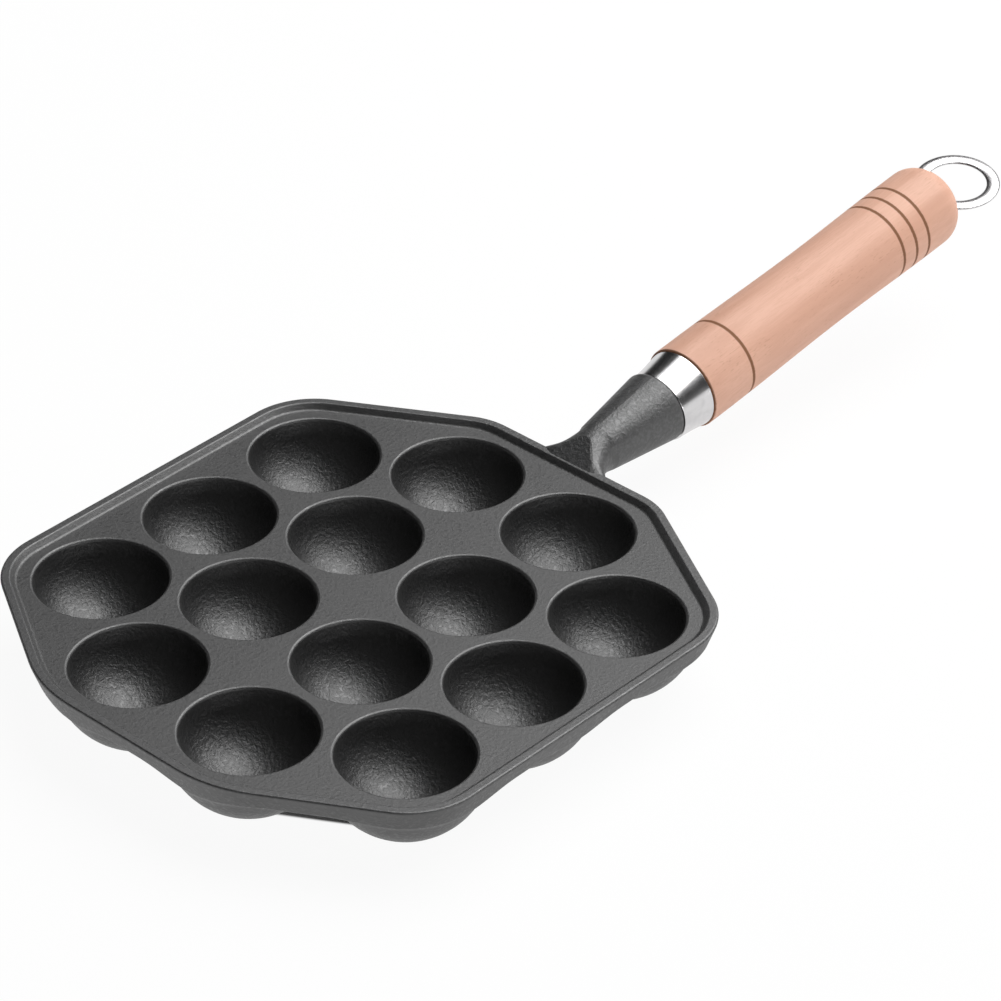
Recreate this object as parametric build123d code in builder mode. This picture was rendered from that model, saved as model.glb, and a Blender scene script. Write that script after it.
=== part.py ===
from build123d import *
import os
from math import asin, atan, cos, degrees, radians, sin, sqrt, tan

os.makedirs("parts", exist_ok=True)

# A cast-iron pan with round cups, a neck cast in one piece with it, and a turned wooden grip.
# The origin is the centre of the plate's top face, +X runs out along the handle and +Z is up.

# ---- Driving dimensions, in millimetres and degrees ----

# Cups: two rows of four between two staggered rows of three
cup_radius = 19.6
cup_lip_round = 0.8
cup_pitch = 43.56
inner_row_y = 22.11
outer_row_y = 60.37

# Plate and rim
plate_half_length = 92.8
plate_half_width = 88.2
end_flat_half = 33.6
side_flat_half = 60.4
side_corner_radius = 24.0
near_corner_radius = 22.0
far_corner_radius = 45.0
plate_thickness = 4.8
rim_height = 1.8
rim_width = 2.9
cove_width = 1.5
cove_round = 1.0
rim_edge_round = 0.6
wall_foot_round = 1.5
wall_draft = 19.0

# Underside: a round bump below each cup, flared into the plate and cut flat where it stands on the hob
cup_wall = 4.6
bump_flare = 9.0
foot_depth = 23.2
foot_edge_round = 0.8
web_round = 1.5

# Line of the handle, which rises away from the pan
handle_tilt = 6.88
handle_drop = 13.31

# Neck: a cone that grows out of the wall and ends square to the handle's line
neck_root_x = 92.5
neck_root_height = -0.3
neck_root_radius = 6.4
neck_end = 131.4
neck_end_rise = 0.8
neck_end_radius = 11.75
neck_end_round = 1.4
crown_start = 90.5
crown_slope = 34.0
crown_round = 1.6

# The neck's root spreads along the wall: each section's place past the root, drop, half width, half height
root_sections = (
    (-6.5, 0.9, 15.0, 2.6),
    (-1.5, 1.1, 14.8, 4.0),
    (0.5, 0.8, 13.0, 5.1),
    (2.5, 0.5, 10.4, 5.9),
    (4.5, 0.25, 8.8, 6.45),
    (7.5, 0.05, 7.6, 7.2),
)
root_end = 11.5

# Ferrule: a thin flared collar, closed at the neck's end
ferrule_length = 11.6
ferrule_front_radius = 11.5
ferrule_middle_radius = 12.05
ferrule_back_radius = 13.0
ferrule_wall = 0.8
ferrule_edge_round = 0.2

# Grip
grip_end = 268.3
grip_front_radius = 13.55
grip_shoulder = 164.5
grip_shoulder_radius = 13.5
grip_waist = 208.0
grip_waist_radius = 13.0
grip_swell = 246.0
grip_swell_radius = 13.5
grip_back_radius = 13.55
butt_round = 8.8
shoulder_chamfer = 0.5
band_places = (161.25, 235.55, 241.75, 247.85)
band_half_width = 0.6
band_depth = 0.35
recess_radius = 9.6
recess_depth = 11.0
recess_edge_round = 0.4

# Rod with its eye, and the washer it pulls on
rod_radius = 3.0
rod_clearance = 0.3
rod_tip_chamfer = 0.6
thread_length = 22.0
thread_runout = 2.0
washer_radius = 8.0
washer_thickness = 1.2
washer_edge_round = 0.25
collar_radius = 5.0
collar_thickness = 1.6
collar_edge_round = 0.3
eye_place = 267.7
eye_drop = 1.2
tongue_root_half = 4.2
eye_radius = 4.4
eye_hole_radius = 2.7
eye_thickness = 3.0
eye_edge_round = 0.5

# Hanging ring: a crowned band, oval in section, that stays in line with the handle at rest
ring_radius = 11.75
ring_band_width = 4.3
ring_band_thickness = 1.5
ring_roll = 5.5

# ---- Shared places (distances along the handle start below the plate's centre) ----

cup_places = [(step * cup_pitch, side * outer_row_y) for side in (1, -1) for step in (-1, 0, 1)]
cup_places += [(step * cup_pitch, side * inner_row_y) for side in (1, -1) for step in (-1.5, -0.5, 0.5, 1.5)]

slab_height = plate_thickness + rim_height
bump_radius = cup_radius + cup_wall
foot_radius = sqrt(bump_radius**2 - foot_depth**2)
foot_angle = degrees(asin(foot_depth / bump_radius))
flare_drop = plate_thickness + bump_flare
flare_angle = degrees(asin(flare_drop / (bump_radius + bump_flare)))
flare_reach = (bump_radius + bump_flare) * cos(radians(flare_angle))
cove_slope = degrees(atan(cove_width / rim_height))
crown_top = rim_height + (neck_end - crown_start) * tan(radians(crown_slope))

ferrule_end = neck_end + ferrule_length
recess_floor = grip_end - recess_depth
washer_top = recess_floor + washer_thickness
collar_top = washer_top + collar_thickness
bore_radius = rod_radius + rod_clearance
nose_front = neck_end + ferrule_wall
nose_middle = neck_end + ferrule_length / 2
grip_front = ferrule_end + shoulder_chamfer
grip_back = grip_end - butt_round
groove_radius = (band_half_width**2 + band_depth**2) / (2 * band_depth)

# The handle plane stands upright along the handle: its X runs along the handle, its Y is up.
along = Vector(cos(radians(handle_tilt)), 0, sin(radians(handle_tilt)))
handle_plane = Plane(origin=(0, 0, -handle_drop), x_dir=along, z_dir=(0, -1, 0))
handle_axis = Axis(handle_plane.origin, along)

# The eye plane is the handle plane turned about the handle by the ring's roll.
eye_facing = handle_plane.z_dir.rotate(handle_axis, ring_roll)
eye_plane = Plane(origin=handle_plane.origin, x_dir=along, z_dir=eye_facing)
ring_centre = eye_plane.from_local_coords((eye_place + ring_radius, -eye_drop, 0))
ring_section_plane = Plane(origin=ring_centre, x_dir=along, z_dir=eye_plane.z_dir)

# The neck plane lies in the same upright plane, along the neck's own slightly flatter axis.
neck_root = Vector(neck_root_x, 0, neck_root_height)
neck_tip = handle_plane.from_local_coords((neck_end, neck_end_rise, 0))
neck_length = (neck_tip - neck_root).length
neck_growth = (neck_end_radius - neck_root_radius) / neck_length
neck_plane = Plane(origin=neck_root, x_dir=neck_tip - neck_root, z_dir=(0, -1, 0))


def across(place):
    """Plane square to the handle at a distance along it, facing its outer end."""
    return Plane(origin=handle_plane.from_local_coords((place, 0, 0)), x_dir=(0, 1, 0), z_dir=along)


def across_neck(place):
    """Plane square to the neck at a distance past its root, facing its outer end."""
    return Plane(origin=neck_plane.from_local_coords((place, 0, 0)), x_dir=(0, 1, 0), z_dir=neck_plane.x_dir)


def neck_radius(place):
    """Radius of the neck's cone at a distance past its root."""
    return neck_root_radius + place * neck_growth


# ---- Pan casting ----

with BuildSketch(Plane.XY.offset(rim_height)) as rim_outline:
    with BuildLine():
        Polyline(
            (side_flat_half, plate_half_width),
            (plate_half_length, end_flat_half),
            (plate_half_length, -end_flat_half),
            (side_flat_half, -plate_half_width),
            (-side_flat_half, -plate_half_width),
            (-plate_half_length, -end_flat_half),
            (-plate_half_length, end_flat_half),
            (-side_flat_half, plate_half_width),
            close=True,
        )
    make_face()
    fillet(rim_outline.vertices().group_by(Axis.Y)[0], radius=side_corner_radius)
    fillet(rim_outline.vertices().group_by(Axis.Y)[-1], radius=side_corner_radius)
    fillet(rim_outline.vertices().group_by(Axis.X)[0], radius=far_corner_radius)
    fillet(rim_outline.vertices().group_by(Axis.X)[-1], radius=near_corner_radius)

# Each bump is part of a ball that flares out into the plate's underside.
with BuildPart() as bump:
    with BuildSketch(Plane.XZ):
        with BuildLine():
            CenterArc((0, 0), bump_radius, -foot_angle, foot_angle - flare_angle)
            CenterArc((flare_reach, -flare_drop), bump_flare, 180 - flare_angle, flare_angle - 90)
            Polyline(
                (flare_reach, -plate_thickness),
                (flare_reach, 0),
                (0, 0),
                (0, -foot_depth),
                (foot_radius, -foot_depth),
            )
        make_face()
    revolve(axis=Axis.Z)

with BuildPart() as bumpy_plate:
    with BuildSketch(Plane.XY.offset(rim_height)):
        Rectangle(4 * plate_half_length, 4 * plate_half_width)
    extrude(amount=-slab_height)
    for place in cup_places:
        add(bump.part.moved(Location(place)))

# The neck spreads at its root, and its top slopes down to the rim.
with BuildPart() as neck:
    with BuildSketch(neck_plane):
        with BuildLine():
            Polyline(
                (root_end, 0),
                (root_end, neck_radius(root_end)),
                (neck_length + neck_end_round, neck_radius(neck_length + neck_end_round)),
                (neck_length + neck_end_round, 0),
                close=True,
            )
        make_face()
    revolve(axis=Axis(neck_plane.origin, neck_plane.x_dir))
    split(bisect_by=across(neck_end), keep=Keep.BOTTOM)
    fillet(neck.edges().sort_by(handle_axis)[-1], radius=neck_end_round)
    for place, drop, half_width, half_height in root_sections:
        with BuildSketch(across_neck(place)):
            with Locations((0, -drop)):
                Ellipse(half_width, half_height)
    with BuildSketch(across_neck(root_end)):
        Circle(neck_radius(root_end))
    loft()
    with BuildSketch(Plane.XZ):
        with BuildLine():
            Polyline(
                (0, -plate_thickness / 2),
                (crown_start, -plate_thickness / 2),
                (crown_start, rim_height),
                (neck_end, crown_top),
                (0, crown_top),
                close=True,
            )
        make_face()
    extrude(amount=plate_half_width, both=True, mode=Mode.SUBTRACT)
    crown = neck.faces().filter_by(GeomType.PLANE).filter_by(lambda face: face.center().X > crown_start)
    crown = crown.filter_by(lambda face: face.normal_at().Z > 0.5)
    fillet(crown.edges().filter_by(GeomType.LINE, reverse=True), radius=crown_round)

with BuildPart() as pan_casting:
    add(rim_outline.sketch)
    extrude(amount=-rim_height - foot_depth, taper=wall_draft)
    add(bumpy_plate.part, mode=Mode.INTERSECT)

    # The wall's foot, then the webs between the bumps
    underside = pan_casting.faces().filter_by(Axis.Z)
    underside += pan_casting.faces().filter_by(GeomType.SPHERE)
    underside += pan_casting.faces().filter_by(GeomType.TORUS)
    walls = pan_casting.faces() - underside
    webs = pan_casting.edges().filter_by(lambda edge: edge.bounding_box().size.Z > 0.1) - walls.edges()
    wall_foot = (walls.edges() & underside.edges()).filter_by_position(Axis.Z, -foot_depth, 0)
    fillet(wall_foot, radius=wall_foot_round)
    fillet(pan_casting.edges() & webs, radius=web_round)
    fillet(pan_casting.edges().filter_by(GeomType.CIRCLE).group_by(Axis.Z)[0], radius=foot_edge_round)

    # Rim
    with BuildSketch(Plane.XY):
        add(rim_outline.sketch_local)
        offset(amount=-(rim_width + cove_width))
    extrude(amount=rim_height, taper=-cove_slope, mode=Mode.SUBTRACT)
    fillet(pan_casting.edges().filter_by_position(Axis.Z, -0.01, 0.01), radius=cove_round)
    fillet(pan_casting.edges().group_by(Axis.Z)[-1], radius=rim_edge_round)

    # Cups
    with Locations(*[Location(place) for place in cup_places]):
        Sphere(cup_radius, mode=Mode.SUBTRACT)
    lips = pan_casting.edges().filter_by(GeomType.CIRCLE).filter_by_position(Axis.Z, -0.01, 0.01)
    fillet(lips, radius=cup_lip_round)

    # Neck, with a tapped hole for the rod
    add(neck.part)
    with Locations(across(neck_end)):
        Hole(radius=rod_radius, depth=thread_length + thread_runout)

pan_casting.part.label = "pan_casting"
export_step(pan_casting.part, "parts/pan_casting.step")

# ---- Ferrule ----


def is_ferrule_rim(edge):
    """Whether a circle is one of the ferrule's two outer rims."""
    return min(abs(edge.radius - ferrule_front_radius), abs(edge.radius - ferrule_back_radius)) < 0.01


with BuildPart() as ferrule:
    with BuildSketch(handle_plane):
        with BuildLine():
            Line((neck_end, bore_radius), (neck_end, ferrule_front_radius))
            ThreePointArc(
                (neck_end, ferrule_front_radius),
                (nose_middle, ferrule_middle_radius),
                (ferrule_end, ferrule_back_radius),
            )
            Line((ferrule_end, ferrule_back_radius), (ferrule_end, ferrule_back_radius - ferrule_wall))
            ThreePointArc(
                (ferrule_end, ferrule_back_radius - ferrule_wall),
                (nose_middle, ferrule_middle_radius - ferrule_wall),
                (nose_front, ferrule_front_radius - ferrule_wall),
            )
            Line((nose_front, ferrule_front_radius - ferrule_wall), (nose_front, bore_radius))
            Line((nose_front, bore_radius), (neck_end, bore_radius))
        make_face()
    revolve(axis=handle_axis)
    fillet(ferrule.edges().filter_by(GeomType.CIRCLE).filter_by(is_ferrule_rim), radius=ferrule_edge_round)

ferrule.part.label = "ferrule"
export_step(ferrule.part, "parts/ferrule.step")

# ---- Grip ----

with BuildPart() as grip:
    with BuildSketch(handle_plane):
        with BuildLine():
            Line((nose_front, bore_radius), (nose_front, ferrule_front_radius - ferrule_wall))
            ThreePointArc(
                (nose_front, ferrule_front_radius - ferrule_wall),
                (nose_middle, ferrule_middle_radius - ferrule_wall),
                (ferrule_end, ferrule_back_radius - ferrule_wall),
            )
            Polyline(
                (ferrule_end, ferrule_back_radius - ferrule_wall),
                (ferrule_end, grip_front_radius - shoulder_chamfer),
                (grip_front, grip_front_radius),
            )
            grip_side = Spline(
                (grip_front, grip_front_radius),
                (grip_shoulder, grip_shoulder_radius),
                (grip_waist, grip_waist_radius),
                (grip_swell, grip_swell_radius),
                (grip_back, grip_back_radius),
            )
            RadiusArc((grip_back, grip_back_radius), (grip_end, grip_back_radius - butt_round), butt_round)
            Line((grip_end, grip_back_radius - butt_round), (grip_end, bore_radius))
            Line((grip_end, bore_radius), (nose_front, bore_radius))
        make_face()
    revolve(axis=handle_axis)

    # Burnt grooves turned into the wood
    with BuildSketch(handle_plane):
        for place in band_places:
            spot = grip_side @ ((place - grip_front) / (grip_back - grip_front))
            with Locations((spot.X, spot.Y + groove_radius - band_depth)):
                Circle(groove_radius)
    revolve(axis=handle_axis, mode=Mode.SUBTRACT)

    # Recess in the butt, where the rod's eye sits
    with Locations(across(grip_end)):
        Hole(radius=recess_radius, depth=recess_depth)
    round_edges = grip.edges().filter_by(GeomType.CIRCLE)
    recess_edges = round_edges.filter_by(lambda edge: abs(edge.radius - recess_radius) < 0.01)
    fillet(recess_edges.sort_by(Axis.X)[-1], radius=recess_edge_round)

grip.part.label = "grip"
export_step(grip.part, "parts/grip.step")

# ---- Eye bolt ----

with BuildPart() as eye_bolt:
    with BuildSketch(across(neck_end - thread_length)):
        Circle(rod_radius)
    extrude(amount=washer_top - neck_end + thread_length)
    chamfer(eye_bolt.edges().sort_by(Axis.X)[0], length=rod_tip_chamfer)
    with BuildSketch(across(washer_top)):
        Circle(collar_radius)
    extrude(amount=collar_thickness)
    fillet(eye_bolt.edges().filter_by(GeomType.CIRCLE).sort_by(Axis.X)[-1], radius=collar_edge_round)

    # The flattened eye
    with BuildSketch(eye_plane):
        with Locations((collar_top - collar_thickness / 2, 0)):
            Rectangle(collar_thickness, 2 * tongue_root_half)
        with Locations((eye_place, -eye_drop)):
            Circle(eye_radius)
        make_hull()
        with Locations((eye_place, -eye_drop)):
            Circle(eye_hole_radius, mode=Mode.SUBTRACT)
    extrude(amount=eye_thickness / 2, both=True)
    eye_faces = eye_bolt.faces().filter_by(Axis(eye_plane.origin, eye_plane.z_dir)).sort_by(SortBy.AREA)[-2:]
    fillet(eye_faces.edges().filter_by(GeomType.CIRCLE), radius=eye_edge_round)

eye_bolt.part.label = "eye_bolt"
export_step(eye_bolt.part, "parts/eye_bolt.step")

# ---- Seat washer ----

with BuildPart() as seat_washer:
    with BuildSketch(across(recess_floor)):
        Circle(washer_radius)
        Circle(bore_radius, mode=Mode.SUBTRACT)
    extrude(amount=washer_thickness)
    fillet(seat_washer.edges().filter_by(GeomType.CIRCLE), radius=washer_edge_round)

seat_washer.part.label = "seat_washer"
export_step(seat_washer.part, "parts/seat_washer.step")

# ---- Hanging ring ----

with BuildPart() as hanging_ring:
    with BuildSketch(ring_section_plane):
        with Locations((ring_radius, 0)):
            Ellipse(ring_band_width / 2, ring_band_thickness / 2)
    revolve(axis=Axis(ring_centre, eye_plane.y_dir))

hanging_ring.part.label = "hanging_ring"
export_step(hanging_ring.part, "parts/hanging_ring.step")
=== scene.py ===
import logging
import math
from dataclasses import dataclass, field
from enum import Enum

import bpy
from mathutils import Matrix, Vector

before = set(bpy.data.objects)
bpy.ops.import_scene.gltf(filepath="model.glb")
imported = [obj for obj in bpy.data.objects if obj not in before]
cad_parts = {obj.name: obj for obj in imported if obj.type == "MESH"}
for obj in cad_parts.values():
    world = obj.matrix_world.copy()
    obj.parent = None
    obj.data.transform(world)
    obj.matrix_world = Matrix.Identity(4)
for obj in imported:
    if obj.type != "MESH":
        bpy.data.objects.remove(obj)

log = logging.getLogger("takoyaki_pan")

Socket = bpy.types.NodeSocket
Value = Socket | float | tuple[float, ...]
Colour = tuple[float, float, float, float]
Point = tuple[float, float, float]
Span = tuple[float, float]

MM = 0.001
WHITE: Colour = (1.0, 1.0, 1.0, 1.0)


class Slot(Enum):
    """The record's material slots."""

    CAST_IRON = "cast_iron"
    BRIGHT_STEEL = "bright_steel"
    BEECH = "beech"
    PLAIN_STEEL = "plain_steel"
    RING_STEEL = "ring_steel"


@dataclass(frozen=True)
class HandleLine:
    """The straight line that neck, ferrule, grip and rod are turned about.

    Attributes:
        drop: how far below the plate's centre the line starts, in mm.
        tilt: how steeply it rises away from the pan, in degrees.
    """

    drop: float = 13.31
    tilt: float = 6.88

    @property
    def start(self) -> Vector:
        """The point below the plate's centre, in metres."""
        return Vector((0.0, 0.0, -self.drop * MM))

    @property
    def turn(self) -> Point:
        """The rotation that lays +X along the handle."""
        return (0.0, -math.radians(self.tilt), 0.0)


@dataclass(frozen=True)
class Noise:
    """The settings of a noise texture.

    Attributes:
        scale: features per unit.
        detail: octaves of finer noise.
        roughness: strength of those octaves.
        distortion: how much the noise bends itself.
        stretch: a further factor for each axis.
    """

    scale: float = 1.0
    detail: float = 1.0
    roughness: float = 0.5
    distortion: float = 0.0
    stretch: Point | None = None


# ---------------------------------------------------------------- nodes


class Graph:
    """Adds nodes to one node tree and joins them."""

    # A Mix node's places for a factor and two numbers or colours, and for the results
    number_sockets = (0, 2, 3)
    colour_sockets = (0, 6, 7)
    number_result = 0
    colour_result = 2

    def __init__(self, tree: bpy.types.NodeTree) -> None:
        """Starts on an empty tree.

        Args:
            tree: the node tree to fill.
        """
        self.tree = tree
        tree.nodes.clear()

    def add(
        self, kind: str, inputs: dict[str | int, Value] | None = None, **settings: object
    ) -> bpy.types.Node:
        """Adds a node.

        Args:
            kind: the node's type name without its ShaderNode prefix.
            inputs: values or sockets for its inputs, by name or place.
            settings: properties of the node itself.

        Returns:
            The new node.
        """
        prefix = "" if kind.startswith("NodeGroup") else "ShaderNode"
        node = self.tree.nodes.new(prefix + kind)
        for name, setting in settings.items():
            setattr(node, name, setting)
        for name, value in (inputs or {}).items():
            self.feed(value, node.inputs[name])
        return node

    def feed(self, value: Value, target: Socket) -> None:
        """Links a socket to an input, or sets the input's own value.

        Args:
            value: a socket, a number or a tuple of numbers.
            target: the input.
        """
        if isinstance(value, bpy.types.NodeSocket):
            self.tree.links.new(value, target)
        else:
            target.default_value = value

    def math(
        self, operation: str, first: Value, second: Value = 0.0, third: Value = 0.0, clamp: bool = False
    ) -> Socket:
        """Adds a Math node.

        Args:
            operation: the name of the operation.
            first: its first number.
            second: its second number, where it takes one.
            third: its third number, where it takes one.
            clamp: whether the result stays from 0 to 1.

        Returns:
            The result.
        """
        node = self.add("Math", operation=operation, use_clamp=clamp)
        for value, target in zip((first, second, third), node.inputs):
            self.feed(value, target)
        return node.outputs[0]

    def step(
        self, value: Value, low: float, high: float, to_low: float = 0.0, to_high: float = 1.0
    ) -> Socket:
        """Eases a value from one range to another.

        Args:
            value: what is mapped.
            low: the value that gives to_low.
            high: the value that gives to_high.
            to_low: the result at and before low.
            to_high: the result at and past high.

        Returns:
            The eased value.
        """
        inputs = {"Value": value, "From Min": low, "From Max": high, "To Min": to_low, "To Max": to_high}
        return self.add("MapRange", inputs, interpolation_type="SMOOTHSTEP").outputs[0]

    def noise(self, vector: Value, look: Noise) -> Socket:
        """Adds a noise texture.

        Args:
            vector: its coordinates.
            look: its settings.

        Returns:
            The noise, about 0.5.
        """
        if look.stretch is not None:
            vector = self.scaled(vector, look.stretch)
        inputs = {
            "Vector": vector,
            "Scale": look.scale,
            "Detail": look.detail,
            "Roughness": look.roughness,
            "Distortion": look.distortion,
        }
        return self.add("TexNoise", inputs).outputs["Fac"]

    def scaled(self, vector: Value, factors: Point) -> Socket:
        """Stretches coordinates.

        Args:
            vector: the coordinates.
            factors: the factor for each axis.

        Returns:
            The stretched coordinates.
        """
        return self.add("VectorMath", {0: vector, 1: factors}, operation="MULTIPLY").outputs[0]

    def shrunk(self, vector: Value, size: Value) -> Socket:
        """Divides coordinates by a size.

        Args:
            vector: the coordinates.
            size: what becomes one unit.

        Returns:
            The divided coordinates.
        """
        inputs = {0: vector, "Scale": self.math("DIVIDE", 1.0, size)}
        return self.add("VectorMath", inputs, operation="SCALE").outputs[0]

    def mix(self, amount: Value, first: Value, second: Value) -> Socket:
        """Mixes two colours.

        Args:
            amount: share of the second.
            first: the first colour.
            second: the second colour.

        Returns:
            The mixed colour.
        """
        node = self.add("Mix", data_type="RGBA", clamp_factor=True)
        for place, value in zip(self.colour_sockets, (amount, first, second)):
            self.feed(value, node.inputs[place])
        return node.outputs[self.colour_result]

    def mix_numbers(self, amount: Value, first: Value, second: Value) -> Socket:
        """Mixes two numbers.

        Args:
            amount: share of the second.
            first: the first number.
            second: the second number.

        Returns:
            The mixed number.
        """
        node = self.add("Mix")
        for place, value in zip(self.number_sockets, (amount, first, second)):
            self.feed(value, node.inputs[place])
        return node.outputs[self.number_result]

    def bump(self, height: Value, depth: float, under: Socket | None = None) -> Socket:
        """Adds a bump.

        Args:
            height: the height, 0 to 1.
            depth: what a height of 1 stands for, in mm.
            under: a normal that this bump lies on.

        Returns:
            The bumped normal.
        """
        inputs = {"Height": height, "Strength": 1.0, "Distance": depth * MM}
        if under is not None:
            inputs["Normal"] = under
        return self.add("Bump", inputs).outputs["Normal"]

    def place(self, line: HandleLine | None = None) -> Socket:
        """Gives object coordinates in millimetres.

        Args:
            line: a line that their X follows from its start. Without one they are the pan's own.

        Returns:
            The coordinates.
        """
        inputs = {"Vector": self.add("TexCoord").outputs["Object"], "Scale": (MM, MM, MM)}
        node = self.add("Mapping", inputs, vector_type="TEXTURE")
        if line is not None:
            node.inputs["Location"].default_value = line.start
            node.inputs["Rotation"].default_value = line.turn
        return node.outputs[0]


class Effect:
    """A shader node group that several materials share."""

    name = ""
    inputs: dict[str, str] = {}
    outputs: dict[str, str] = {}

    def __init__(self) -> None:
        """Builds the group once."""
        self.tree = bpy.data.node_groups.new(self.name, "ShaderNodeTree")
        graph = Graph(self.tree)
        for label, kind in self.inputs.items():
            self.tree.interface.new_socket(label, in_out="INPUT", socket_type="NodeSocket" + kind)
        for label, kind in self.outputs.items():
            self.tree.interface.new_socket(label, in_out="OUTPUT", socket_type="NodeSocket" + kind)
        arrival = graph.add("NodeGroupInput")
        leaving = graph.add("NodeGroupOutput")
        for label, result in self.fill(graph, arrival.outputs).items():
            graph.feed(result, leaving.inputs[label])

    def fill(self, graph: Graph, given: bpy.types.NodeOutputs) -> dict[str, Socket]:
        """Builds the effect's nodes.

        Args:
            graph: the group's graph.
            given: the group's inputs by name.

        Returns:
            A socket for each output's name.
        """
        raise NotImplementedError

    def use(self, graph: Graph, **inputs: Value) -> bpy.types.NodeOutputs:
        """Places the group in a material.

        Args:
            graph: the material's graph.
            inputs: its inputs, with _ for a space.

        Returns:
            The group's outputs by name.
        """
        node = graph.add("Group", node_tree=self.tree)
        for name, value in inputs.items():
            graph.feed(value, node.inputs[name.replace("_", " ")])
        return node.outputs


class Grain(Effect):
    """The skin that a rough mould or tool leaves: fine grains over soft dents."""

    name = "grain"
    inputs = {"Vector": "Vector", "Size": "Float", "Coarseness": "Float"}
    outputs = {"Height": "Float", "Speck": "Float"}
    grains = Noise(scale=0.62, detail=3.0, roughness=0.55, distortion=0.35)
    grain_edges = (0.25, 0.75)
    speck_edges = (0.5, 0.68)
    dents = Noise(scale=0.17)
    dents_middle = 0.5

    def fill(self, graph: Graph, given: bpy.types.NodeOutputs) -> dict[str, Socket]:
        """Builds the effect's nodes.

        Args:
            graph: the group's graph.
            given: the group's inputs by name.

        Returns:
            A socket for each output's name.
        """
        place = graph.shrunk(given["Vector"], given["Size"])
        grains = graph.noise(place, self.grains)
        dents = graph.math("SUBTRACT", graph.noise(place, self.dents), self.dents_middle)
        coarse = graph.math("MULTIPLY", dents, given["Coarseness"])
        height = graph.math("ADD", graph.step(grains, *self.grain_edges), coarse)
        return {"Height": height, "Speck": graph.step(grains, *self.speck_edges)}


class Turning(Effect):
    """Fine rings round the handle's line, as a lathe or a polishing wheel leaves them."""

    name = "turning"
    inputs = {"Vector": "Vector", "Spacing": "Float"}
    outputs = {"Height": "Float"}
    marks = Noise(detail=2.0, roughness=0.6)
    centre_guard = 0.01

    def fill(self, graph: Graph, given: bpy.types.NodeOutputs) -> dict[str, Socket]:
        """Builds the effect's nodes.

        Args:
            graph: the group's graph.
            given: the group's inputs by name.

        Returns:
            A socket for each output's name.
        """
        along, across, up = graph.add("SeparateXYZ", {"Vector": given["Vector"]}).outputs
        squares = graph.math("MULTIPLY", across, across), graph.math("MULTIPLY", up, up)
        radius = graph.math("SQRT", graph.math("ADD", *squares))
        guarded = graph.math("ADD", radius, self.centre_guard)
        steps = [graph.math("DIVIDE", distance, given["Spacing"]) for distance in (along, radius)]
        inputs = {
            "X": graph.math("ADD", *steps),
            "Y": graph.math("DIVIDE", across, guarded),
            "Z": graph.math("DIVIDE", up, guarded),
        }
        return {"Height": graph.noise(graph.add("CombineXYZ", inputs).outputs[0], self.marks)}


class Handling(Effect):
    """Soft, wide patches where hands and cloths have polished or dulled a surface."""

    name = "handling"
    inputs = {"Vector": "Vector", "Size": "Float"}
    outputs = {"Mask": "Float"}
    patches = Noise(detail=3.0, roughness=0.6, distortion=0.8)
    patch_edges = (0.35, 0.68)

    def fill(self, graph: Graph, given: bpy.types.NodeOutputs) -> dict[str, Socket]:
        """Builds the effect's nodes.

        Args:
            graph: the group's graph.
            given: the group's inputs by name.

        Returns:
            A socket for each output's name.
        """
        patches = graph.noise(graph.shrunk(given["Vector"], given["Size"]), self.patches)
        return {"Mask": graph.step(patches, *self.patch_edges)}


@dataclass
class Effects:
    """The groups that the finishes share."""

    grain: Grain = field(default_factory=Grain)
    turning: Turning = field(default_factory=Turning)
    handling: Handling = field(default_factory=Handling)


# ---------------------------------------------------------------- finishes


def new_material(name: str) -> tuple[bpy.types.Material, Graph, bpy.types.Node]:
    """Makes an empty material with its shader and output.

    Args:
        name: the material's name.

    Returns:
        The material, its graph and its shader.
    """
    material = bpy.data.materials.new(name)
    material.use_nodes = True
    graph = Graph(material.node_tree)
    shader = graph.add("BsdfPrincipled")
    graph.add("OutputMaterial", {"Surface": shader.outputs[0]})
    return material, graph, shader


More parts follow.
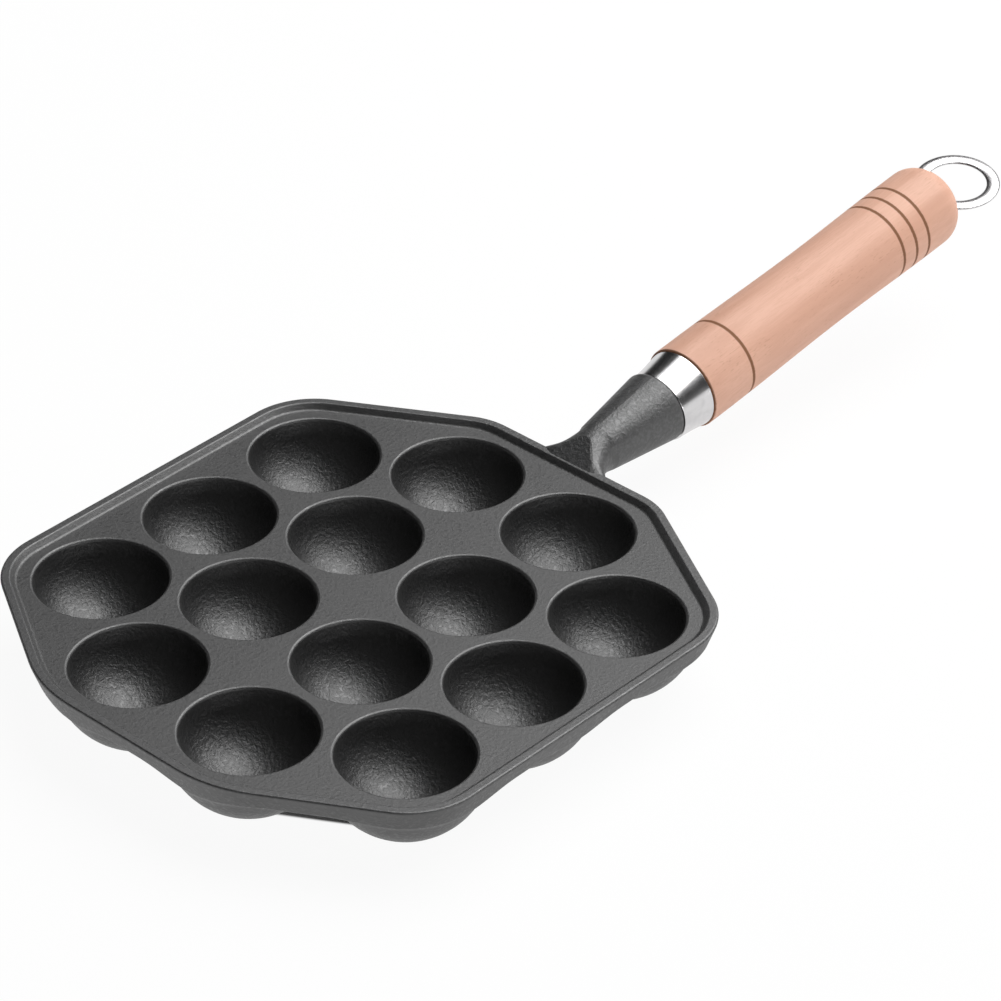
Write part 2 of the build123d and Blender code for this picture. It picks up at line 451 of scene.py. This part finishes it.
@dataclass(frozen=True)
class CastIronFinish:
    """Sand-cast iron, blacked and seasoned: grainy in the cups, smoother on the plate.

    Attributes:
        dark: colour in the pits.
        light: colour of the grains' tops.
        rubbed: colour along the rim's top.
        index: index of refraction of the black oxide.
        grain_size: width of a grain, in mm.
        grain_depth: depth of the grain in the cups, in mm.
        coarseness: height of the soft dents under the grains, as a share of the grains'.
        plate_share: the part of that depth that the plate keeps.
        neck_share: the part of that depth that the neck keeps.
        roughness: of the grains' tops and of the pits.
        rim_band: heights between which the rim turns rubbed, in mm.
        rim_grain: grain heights between which the rubbed colour sets in.
        cup_band: heights between which the cups' grain fades out, in mm.
        neck_band: places along the pan where the neck's skin takes over, in mm.
        wear_size: width of a worn patch, in mm.
        wear_share: how far a worn patch takes the light colour.
        wear_gloss: how much smoother a worn patch is.
    """

    dark: Colour = (0.006, 0.006, 0.006, 1.0)
    light: Colour = (0.014, 0.014, 0.0145, 1.0)
    rubbed: Colour = (0.026, 0.026, 0.027, 1.0)
    index: float = 1.92
    grain_size: float = 0.68
    grain_depth: float = 0.09
    coarseness: float = 0.3
    plate_share: float = 0.34
    neck_share: float = 0.85
    roughness: Span = (0.43, 0.54)
    rim_band: Span = (0.9, 1.7)
    rim_grain: Span = (0.2, 0.8)
    cup_band: Span = (-1.2, -0.3)
    neck_band: Span = (87.0, 90.0)
    wear_size: float = 26.0
    wear_share: float = 0.35
    wear_gloss: float = 0.04

    def make(self, effects: Effects) -> bpy.types.Material:
        """Builds the material.

        Args:
            effects: the shared groups.

        Returns:
            The material.
        """
        material, graph, shader = new_material(Slot.CAST_IRON.value)
        place = graph.place()
        grain = effects.grain.use(graph, Vector=place, Size=self.grain_size, Coarseness=self.coarseness)
        worn = effects.handling.use(graph, Vector=place, Size=self.wear_size)["Mask"]
        along, _, height = graph.add("SeparateXYZ", {"Vector": place}).outputs
        raised = graph.step(grain["Height"], *self.rim_grain)
        rim = graph.math("MULTIPLY", graph.step(height, *self.rim_band), raised)
        cups = graph.step(height, *self.cup_band, 1.0, self.plate_share)
        skin = graph.mix_numbers(graph.step(along, *self.neck_band), cups, self.neck_share)
        tone = graph.mix(grain["Speck"], self.dark, self.light)
        tone = graph.mix(graph.math("MULTIPLY", worn, self.wear_share), tone, self.light)
        graph.feed(graph.mix(rim, tone, self.rubbed), shader.inputs["Base Color"])
        tops, pits = self.roughness
        rough = graph.step(grain["Speck"], 0.0, 1.0, pits, tops)
        graph.feed(graph.math("MULTIPLY_ADD", worn, -self.wear_gloss, rough), shader.inputs["Roughness"])
        shader.inputs["IOR"].default_value = self.index
        relief = graph.math("MULTIPLY", grain["Height"], skin)
        graph.feed(graph.bump(relief, self.grain_depth), shader.inputs["Normal"])
        return material


@dataclass(frozen=True)
class BeechFinish:
    """Turned beech under a thin clear finish, with its grain along the handle.

    Attributes:
        pale: colour between the flecks.
        ruddy: colour of the darker growth bands.
        fleck: colour of the short rays.
        burnt: colour of the burnt lines.
        bands: the growth bands.
        band_edges: band values between which pale turns to ruddy.
        fibres: the fine fibres along the grain.
        fibre_edges: fibre values between which they show.
        fibre_share: how far they take the ruddy colour.
        fibre_depth: their depth, in mm.
        rays: the short rays.
        ray_edges: ray values between which they show.
        crowds: the areas where rays crowd together.
        crowd_edges: crowd values between which such an area sets in.
        ray_share: how far the rays take the fleck colour.
        roughness: of the clear finish.
        touch_size: width of a patch that hands have polished, in mm.
        touch_gloss: how much smoother such a patch is.
        lathe_spacing: distance between the lathe's marks, in mm.
        lathe_depth: their depth, in mm.
        burnt_places: distances along the handle of the dark front edge and the burnt lines, in mm.
        burnt_half_width: half the width of a burnt line, in mm.
        burnt_fade: where a line has faded out, in half widths.
        burnt_wander: how far a line strays along the handle, in mm.
        burnt_raggedness: the noise that it strays by.
        burnt_dullness: how much rougher a line is.
    """

    pale: Colour = (0.74, 0.435, 0.32, 1.0)
    ruddy: Colour = (0.65, 0.36, 0.255, 1.0)
    fleck: Colour = (0.42, 0.21, 0.12, 1.0)
    burnt: Colour = (0.21, 0.085, 0.035, 1.0)
    bands: Noise = Noise(detail=3.0, roughness=0.55, distortion=0.6, stretch=(0.012, 0.16, 0.10))
    band_edges: Span = (0.36, 0.66)
    fibres: Noise = Noise(detail=2.0, roughness=0.6, stretch=(0.16, 3.1, 3.1))
    fibre_edges: Span = (0.42, 0.68)
    fibre_share: float = 0.6
    fibre_depth: float = 0.02
    rays: Noise = Noise(stretch=(0.42, 2.3, 2.3))
    ray_edges: Span = (0.60, 0.72)
    crowds: Noise = Noise(stretch=(0.03, 0.12, 0.12))
    crowd_edges: Span = (0.35, 0.7)
    ray_share: float = 0.4
    roughness: float = 0.62
    touch_size: float = 30.0
    touch_gloss: float = 0.06
    lathe_spacing: float = 0.6
    lathe_depth: float = 0.006
    burnt_places: tuple[float, ...] = (142.75, 161.25, 235.55, 241.75, 247.85)
    burnt_half_width: float = 0.4
    burnt_fade: float = 1.9
    burnt_wander: float = 0.3
    burnt_raggedness: Noise = Noise(stretch=(0.5, 2.0, 2.0))
    burnt_dullness: float = 0.2

    def make(self, effects: Effects, line: HandleLine) -> bpy.types.Material:
        """Builds the material.

        Args:
            effects: the shared groups.
            line: the line that the grain follows.

        Returns:
            The material.
        """
        material, graph, shader = new_material(Slot.BEECH.value)
        place = graph.place(line)
        fibres = graph.noise(place, self.fibres)
        burn = self.burnt_mask(graph, place)
        tone = graph.mix(graph.step(graph.noise(place, self.bands), *self.band_edges), self.pale, self.ruddy)
        tone = graph.mix(graph.step(fibres, *self.fibre_edges, 0.0, self.fibre_share), tone, self.ruddy)
        tone = graph.mix(self.ray_mask(graph, place), tone, self.fleck)
        graph.feed(graph.mix(burn, tone, self.burnt), shader.inputs["Base Color"])
        touched = effects.handling.use(graph, Vector=place, Size=self.touch_size)["Mask"]
        rough = graph.math("MULTIPLY_ADD", touched, -self.touch_gloss, self.roughness)
        graph.feed(graph.math("MULTIPLY_ADD", burn, self.burnt_dullness, rough), shader.inputs["Roughness"])
        lathe = effects.turning.use(graph, Vector=place, Spacing=self.lathe_spacing)["Height"]
        under = graph.bump(lathe, self.lathe_depth)
        graph.feed(graph.bump(fibres, self.fibre_depth, under), shader.inputs["Normal"])
        return material

    def ray_mask(self, graph: Graph, place: Socket) -> Socket:
        """Marks the short rays, which crowd together in places.

        Args:
            graph: the material's graph.
            place: millimetres along and across the handle.

        Returns:
            The share of the fleck colour.
        """
        rays = graph.step(graph.noise(place, self.rays), *self.ray_edges)
        crowds = graph.step(graph.noise(place, self.crowds), *self.crowd_edges)
        return graph.math("MULTIPLY", graph.math("MULTIPLY", rays, crowds), self.ray_share)

    def burnt_mask(self, graph: Graph, place: Socket) -> Socket:
        """Marks the burnt lines.

        Args:
            graph: the material's graph.
            place: millimetres along and across the handle.

        Returns:
            1 on a burnt line, 0 away from it.
        """
        along = graph.add("SeparateXYZ", {"Vector": place}).outputs[0]
        ragged = graph.noise(place, self.burnt_raggedness)
        stray = graph.math("MULTIPLY_ADD", ragged, self.burnt_wander, -self.burnt_wander / 2)
        along = graph.math("ADD", along, stray)
        faded = self.burnt_half_width * self.burnt_fade
        mask: Value = 0.0
        for spot in self.burnt_places:
            gap = graph.math("ABSOLUTE", graph.math("SUBTRACT", along, spot))
            mask = graph.math("MAXIMUM", mask, graph.step(gap, self.burnt_half_width, faded, 1.0, 0.0))
        return mask


@dataclass(frozen=True)
class SteelFinish:
    """Bare or plated steel with turning marks and faint smudges.

    Attributes:
        slot: the record's slot.
        colour: its reflection.
        roughness: where it is clean.
        smudge: how much rougher it is where it was touched.
        mark_depth: depth of the turning marks, in mm.
        mark_spacing: distance between them, in mm.
        smudge_size: width of a smudge, in mm.
        smudge_shade: the part of the reflection that a smudge keeps.
    """

    slot: Slot
    colour: Colour
    roughness: float
    smudge: float
    mark_depth: float
    mark_spacing: float
    smudge_size: float = 9.0
    smudge_shade: float = 0.9

    def make(self, effects: Effects, line: HandleLine) -> bpy.types.Material:
        """Builds the material.

        Args:
            effects: the shared groups.
            line: the line that the turning marks go round.

        Returns:
            The material.
        """
        material, graph, shader = new_material(self.slot.value)
        place = graph.place(line)
        smudges = effects.handling.use(graph, Vector=place, Size=self.smudge_size)["Mask"]
        marks = effects.turning.use(graph, Vector=place, Spacing=self.mark_spacing)["Height"]
        shader.inputs["Metallic"].default_value = 1.0
        dulled = tuple(self.smudge_shade * part for part in self.colour[:3]) + (1.0,)
        graph.feed(graph.mix(smudges, self.colour, dulled), shader.inputs["Base Color"])
        rough = graph.math("MULTIPLY_ADD", smudges, self.smudge, self.roughness)
        graph.feed(rough, shader.inputs["Roughness"])
        graph.feed(graph.bump(marks, self.mark_depth), shader.inputs["Normal"])
        return material


# ---------------------------------------------------------------- sub-assemblies


def dress(node: str, material: bpy.types.Material) -> None:
    """Gives a CAD node its finish.

    Args:
        node: the node's name.
        material: its finish.
    """
    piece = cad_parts[node]
    piece.data.materials.clear()
    piece.data.materials.append(material)
    log.info("dressed %s in %s", node, material.name)


@dataclass
class PanCasting:
    """The plate, cups, rim and neck, poured in one."""

    finish: CastIronFinish = CastIronFinish()

    def build(self, effects: Effects) -> None:
        """Dresses the casting.

        Args:
            effects: the shared groups.
        """
        dress("pan_casting", self.finish.make(effects))


@dataclass
class Handle:
    """Ferrule, grip, eye bolt and washer, all turned about one line."""

    line: HandleLine = HandleLine()
    beech: BeechFinish = BeechFinish()
    bright: SteelFinish = SteelFinish(
        slot=Slot.BRIGHT_STEEL,
        colour=(0.66, 0.65, 0.655, 1.0),
        roughness=0.22,
        smudge=0.04,
        mark_depth=0.004,
        mark_spacing=0.35,
    )
    plain: SteelFinish = SteelFinish(
        slot=Slot.PLAIN_STEEL,
        colour=(0.60, 0.60, 0.61, 1.0),
        roughness=0.30,
        smudge=0.10,
        mark_depth=0.008,
        mark_spacing=0.30,
    )

    def build(self, effects: Effects) -> None:
        """Dresses the handle's pieces.

        Args:
            effects: the shared groups.
        """
        dress("ferrule", self.bright.make(effects, self.line))
        dress("grip", self.beech.make(effects, self.line))
        plain = self.plain.make(effects, self.line)
        dress("eye_bolt", plain)
        dress("seat_washer", plain)


@dataclass
class HangingRing:
    """The crowned ring that swings in the eye."""

    line: HandleLine = HandleLine()
    steel: SteelFinish = SteelFinish(
        slot=Slot.RING_STEEL,
        colour=(0.56, 0.55, 0.555, 1.0),
        roughness=0.28,
        smudge=0.04,
        mark_depth=0.002,
        mark_spacing=0.40,
    )

    def build(self, effects: Effects) -> None:
        """Dresses the ring.

        Args:
            effects: the shared groups.
        """
        dress("hanging_ring", self.steel.make(effects, self.line))


# ---------------------------------------------------------------- studio


@dataclass(frozen=True)
class Softbox:
    """One studio lamp that faces the pan.

    Attributes:
        name: its name.
        towards: direction from the pan to the lamp.
        distance: in metres.
        size: width and height, in metres.
        watts: its power.
    """

    name: str
    towards: Point
    distance: float
    size: Span
    watts: float

    def make(self, target: Vector) -> None:
        """Hangs the lamp.

        Args:
            target: the point that it faces.
        """
        light = bpy.data.lights.new(self.name, "AREA")
        light.shape = "RECTANGLE"
        light.size, light.size_y = self.size
        light.energy = self.watts
        lamp = bpy.data.objects.new(self.name, light)
        towards = Vector(self.towards).normalized()
        lamp.location = target + towards * self.distance
        lamp.rotation_euler = towards.to_track_quat("Z", "Y").to_euler()
        bpy.context.scene.collection.objects.link(lamp)
        log.info("hung %s", self.name)


@dataclass
class Studio:
    """Floor, world, lamps and camera.

    Attributes:
        floor_height: where the pan's feet stand, in mm.
        floor_size: half the floor's width, in metres.
        camera_place: the lens's place, in mm.
        camera_forward: where it looks.
        camera_right: the picture's right.
        lens: focal length, in mm.
        sensor: the sensor's width, in mm.
        clip: nearest and farthest distance that is drawn, in metres.
        ambient: the world's strength as a light.
        paper: the floor's colour as a surface.
        glow: share of plain white in the open floor, for the rays that show it.
        footprint: reach of the eight-sided patch under the pan that shows its own shade, in mm. The shade
            inside is rendered, but the patch's outline, not the lamps, sets where that dark shade ends, so
            its edge is painted shade.
        footprint_slant: weights of the distances along and across, on the patch's slanted sides.
        footprint_square: the same weights on its straight sides.
        footprint_edge: half the width over which the patch fades, in mm.
        sweep: rises of a ray between which the white sweep round the floor ends.
        lamp_target: the point that the softboxes face, in metres.
        lamps: the softboxes.
    """

    floor_height: float = -23.2
    floor_size: float = 4.0
    camera_place: Point = (-711.67, -704.68, 714.74)
    camera_forward: Point = (0.610495, 0.557319, -0.562753)
    camera_right: Point = (0.676621, -0.736316, 0.004817)
    lens: float = 154.9
    sensor: float = 36.0
    clip: Span = (0.05, 30.0)
    ambient: float = 0.01
    paper: Colour = (0.97, 0.97, 0.97, 1.0)
    glow: float = 0.94
    footprint: float = 73.4
    footprint_slant: Span = (0.86, 0.51)
    footprint_square: Span = (1.06, 1.18)
    footprint_edge: float = 0.6
    sweep: Span = (0.115, 0.135)
    lamp_target: Point = (0.06, 0.0, 0.0)
    lamps: tuple[Softbox, ...] = (
        Softbox("key_softbox", towards=(0.487, -0.112, 0.866), distance=1.4, size=(1.6, 1.6), watts=31.0),
        Softbox("low_softbox", towards=(-0.2, -0.97, 0.08), distance=1.8, size=(1.6, 0.25), watts=6.0),
    )

    def build(self) -> None:
        """Makes the whole studio."""
        self.make_camera()
        self.make_floor()
        self.make_world()
        for lamp in self.lamps:
            lamp.make(Vector(self.lamp_target))
        bpy.context.scene.view_settings.view_transform = "Standard"

    def make_camera(self) -> None:
        """Sets the camera at its place."""
        data = bpy.data.cameras.new("camera")
        data.lens = self.lens
        data.sensor_width = self.sensor
        data.clip_start, data.clip_end = self.clip
        camera = bpy.data.objects.new("camera", data)
        forward = Vector(self.camera_forward).normalized()
        right = Vector(self.camera_right).normalized()
        upward = right.cross(forward)
        turn = Matrix((right, upward, -forward)).transposed()
        camera.matrix_world = Matrix.Translation(Vector(self.camera_place) * MM) @ turn.to_4x4()
        bpy.context.scene.collection.objects.link(camera)
        bpy.context.scene.camera = camera

    def make_floor(self) -> None:
        """Lays the pale floor, which shows white and keeps the pan's shadow."""
        height = self.floor_height * MM
        low, high = -self.floor_size, self.floor_size
        corners = [(x, y, height) for x, y in ((low, low), (high, low), (high, high), (low, high))]
        mesh = bpy.data.meshes.new("floor")
        mesh.from_pydata(corners, [], [(0, 1, 2, 3)])
        mesh.materials.append(self.make_paper())
        floor = bpy.data.objects.new("floor", mesh)
        bpy.context.scene.collection.objects.link(floor)

    def make_paper(self) -> bpy.types.Material:
        """Builds the floor's material, which is clear when seen from below.

        Returns:
            The material.
        """
        material = bpy.data.materials.new("floor_white")
        material.use_nodes = True
        graph = Graph(material.node_tree)
        paper = graph.add("BsdfDiffuse", {"Color": self.paper})
        glow = graph.add("Emission", {"Color": WHITE, "Strength": 1.0})
        share = graph.math("MULTIPLY", self.seen_rays(graph), self.glow)
        # painted shade: under the pan the white is dropped, so the floor's shadow shows inside a mask-drawn
        # outline
        share = graph.math("MULTIPLY", share, self.open_floor(graph))
        above = graph.add("MixShader", {0: share, 1: paper.outputs[0], 2: glow.outputs[0]})
        clear = graph.add("BsdfTransparent")
        backfacing = graph.add("NewGeometry").outputs["Backfacing"]
        floor = graph.add("MixShader", {0: backfacing, 1: above.outputs[0], 2: clear.outputs[0]})
        graph.add("OutputMaterial", {"Surface": floor.outputs[0]})
        return material

    def open_floor(self, graph: Graph) -> Socket:
        """Marks the floor that is not right under the pan. Under the pan the white is left out, so the
        floor's rendered shadow shows there in full, and this mask's eight-sided outline paints where that
        dark shade stops. This gives the dark sliver between the front feet.

        Args:
            graph: the floor material's graph.

        Returns:
            0 under the pan, 1 on the open floor.
        """
        along, across, _ = graph.add("SeparateXYZ", {"Vector": graph.place()}).outputs
        places = graph.math("ABSOLUTE", along), graph.math("ABSOLUTE", across)
        slants = [graph.math("MULTIPLY", *pair) for pair in zip(places, self.footprint_slant)]
        squares = [graph.math("MULTIPLY", *pair) for pair in zip(places, self.footprint_square)]
        reach = graph.math("MAXIMUM", graph.math("ADD", *slants), graph.math("MAXIMUM", *squares))
        return graph.step(reach, self.footprint - self.footprint_edge, self.footprint + self.footprint_edge)

    def seen_rays(self, graph: Graph) -> Socket:
        """Tells the rays that show the backdrop from the rays that light the pan.

        Args:
            graph: a graph with access to the light path.

        Returns:
            1 for camera, glossy and transmission rays, 0 for the rest.
        """
        path = graph.add("LightPath").outputs
        seen = graph.math("MAXIMUM", path["Is Camera Ray"], path["Is Glossy Ray"])
        return graph.math("MAXIMUM", seen, path["Is Transmission Ray"])

    def make_world(self) -> None:
        """Sets the dim room.

        Rays that show the backdrop see a low white sweep round the floor, and white through the floor
        from below.
        """
        world = bpy.data.worlds.new("room")
        world.use_nodes = True
        bpy.context.scene.world = world
        graph = Graph(world.node_tree)
        rise = graph.add("SeparateXYZ", {"Vector": graph.add("TexCoord").outputs["Generated"]}).outputs[2]
        sweep = graph.step(rise, *self.sweep, 1.0, 0.0)
        through_floor = graph.add("LightPath").outputs["Transparent Depth"]
        backdrop = graph.math("MAXIMUM", sweep, through_floor, clamp=True)
        white = graph.math("MULTIPLY", self.seen_rays(graph), backdrop)
        glow = graph.add("Background", {"Color": WHITE, "Strength": 1.0})
        room = graph.add("Background", {"Color": WHITE, "Strength": self.ambient})
        shown = graph.add("MixShader", {0: white, 1: room.outputs[0], 2: glow.outputs[0]})
        graph.add("OutputWorld", {"Surface": shown.outputs[0]})


def main() -> None:
    """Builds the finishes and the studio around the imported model."""
    logging.basicConfig(level=logging.INFO, format="%(name)s: %(message)s")
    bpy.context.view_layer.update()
    effects = Effects()
    PanCasting().build(effects)
    Handle().build(effects)
    HangingRing().build(effects)
    Studio().build()


if __name__ == "__main__":
    main()
